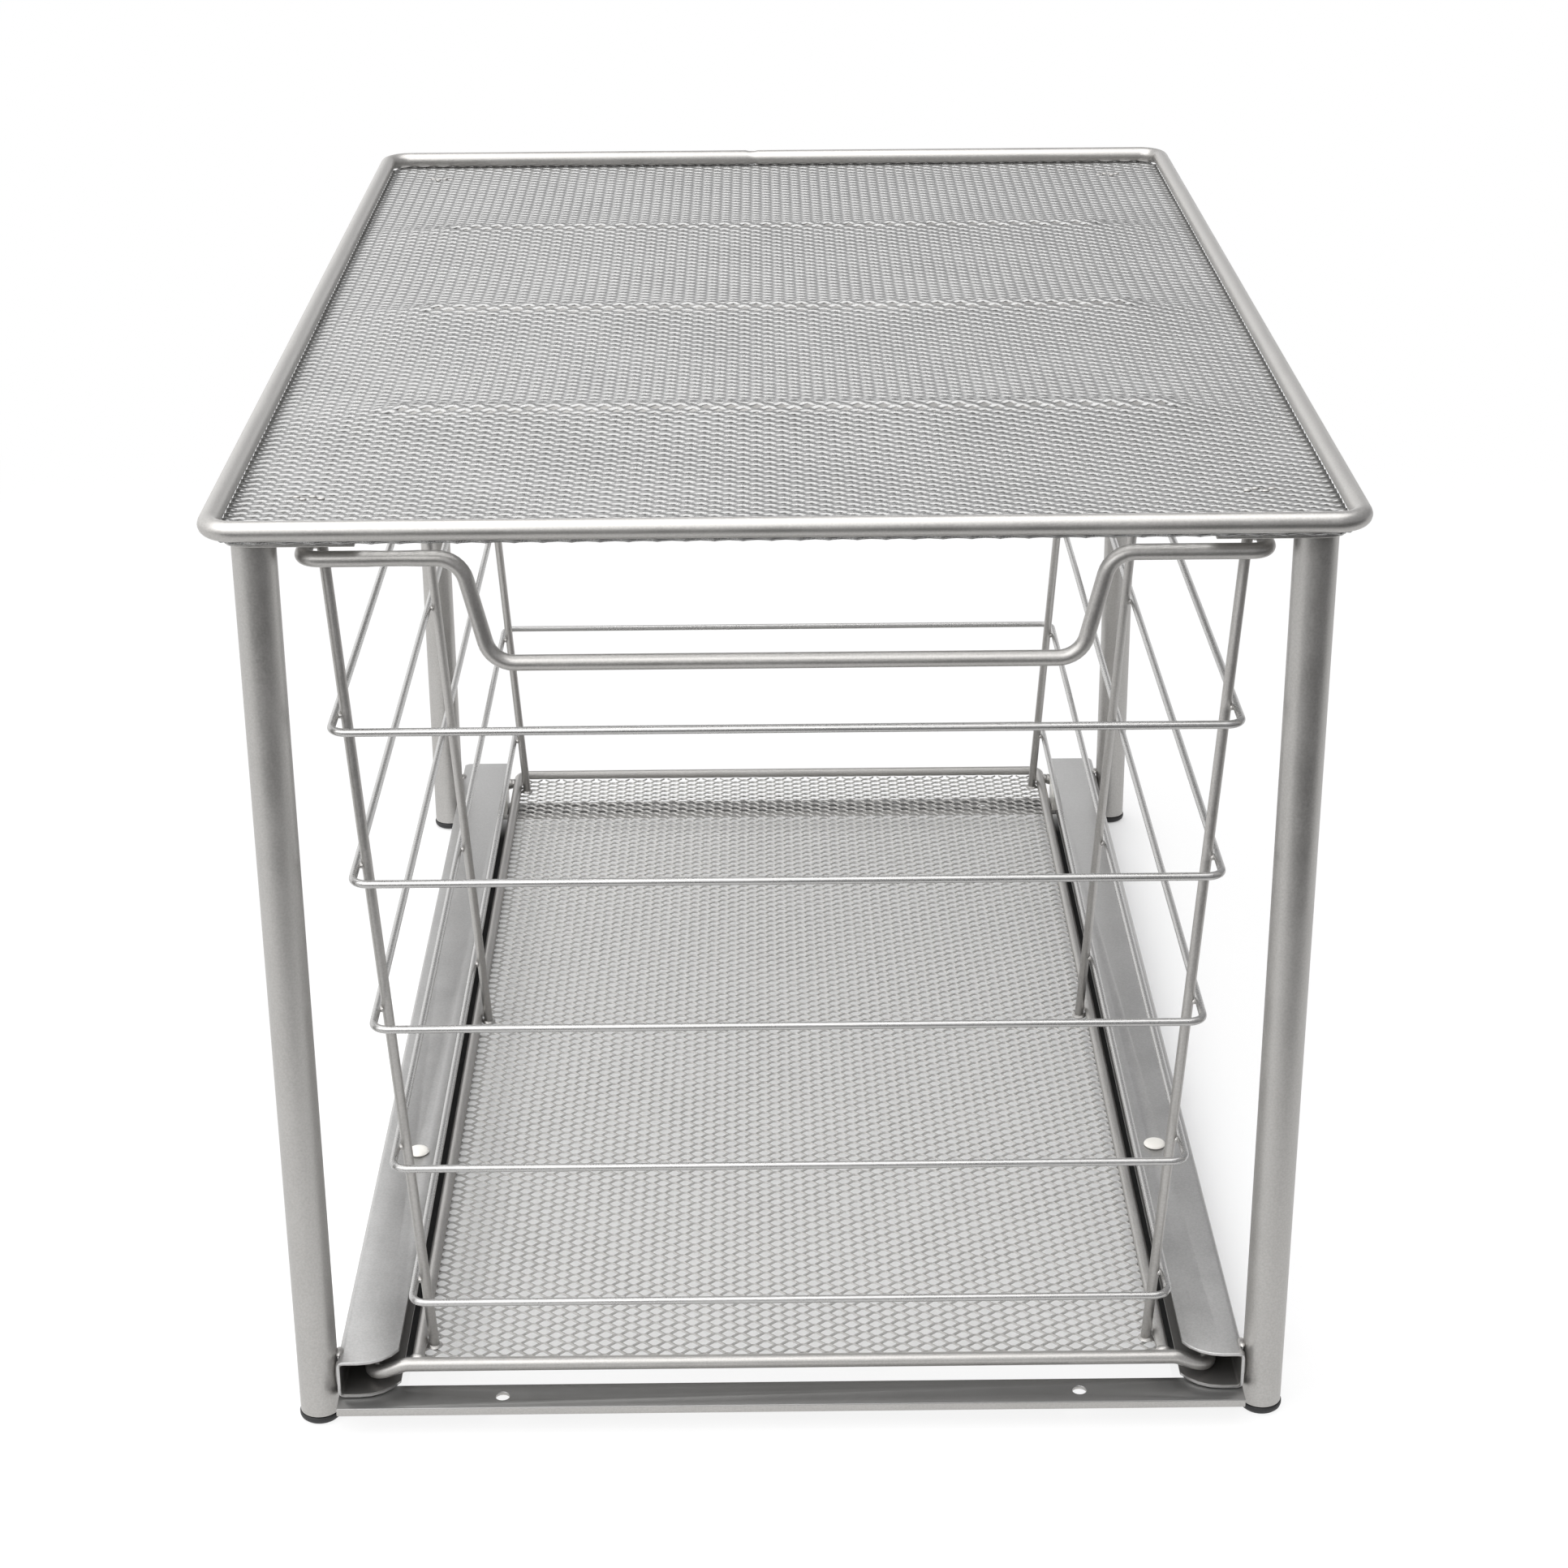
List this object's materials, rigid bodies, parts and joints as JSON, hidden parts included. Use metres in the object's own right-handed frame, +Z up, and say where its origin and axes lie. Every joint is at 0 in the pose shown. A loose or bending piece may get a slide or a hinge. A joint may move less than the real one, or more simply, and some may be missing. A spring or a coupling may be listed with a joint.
{
  "type": "sliding drawer organizer",
  "caption": "Mesh-topped steel stand for a cabinet with a deep wire basket drawer that slides out on C-channel rails by a dipped wire handle.",
  "frame": {"origin": "centre of the stand's footprint, on the floor", "axes": "+X to the right seen from the front, +Y to the back, +Z up; the drawer slides out along -Y"},
  "size_m": [0.31, 0.46, 0.286],
  "materials": {
    "silver_paint": "silver metallic paint, satin",
    "silver_mesh": "silver metallic paint, satin",
    "black_plastic": "matte",
    "white_nylon": "satin"
  },
  "bodies": {
    "stand": {"top_rim": "silver_paint", "top_mesh": "silver_mesh", "crossbar_front": "silver_paint", "crossbar_middle": "silver_paint", "crossbar_rear": "silver_paint", "corner_plate_front_left": "silver_paint", "corner_plate_front_right": "silver_paint", "corner_plate_rear_left": "silver_paint", "corner_plate_rear_right": "silver_paint", "leg_front_left": "silver_paint", "leg_front_right": "silver_paint", "leg_rear_left": "silver_paint", "leg_rear_right": "silver_paint", "foot_cap_front_left": "black_plastic", "foot_cap_front_right": "black_plastic", "foot_cap_rear_left": "black_plastic", "foot_cap_rear_right": "black_plastic", "rail_left": "silver_paint", "rail_right": "silver_paint", "rail_glide_left": "white_nylon", "rail_glide_right": "white_nylon", "front_strip": "silver_paint", "rear_strip": "silver_paint"},
    "drawer": {"slide_wire": "silver_paint", "base_frame": "silver_paint", "base_mesh": "silver_mesh", "rear_slider_left": "white_nylon", "rear_slider_right": "white_nylon", "upright_front_left": "silver_paint", "upright_front_right": "silver_paint", "upright_middle_left": "silver_paint", "upright_middle_right": "silver_paint", "upright_rear_left": "silver_paint", "upright_rear_right": "silver_paint", "ring_1": "silver_paint", "ring_2": "silver_paint", "ring_3": "silver_paint", "ring_4": "silver_paint", "ring_5": "silver_paint", "handle_rim": "silver_paint"}
  },
  "joints": [
    {"name": "drawer_slide", "type": "slide", "parent": "stand", "child": "drawer", "axis": [0, -1, 0], "range_m": [0, 0.294]}
  ]
}
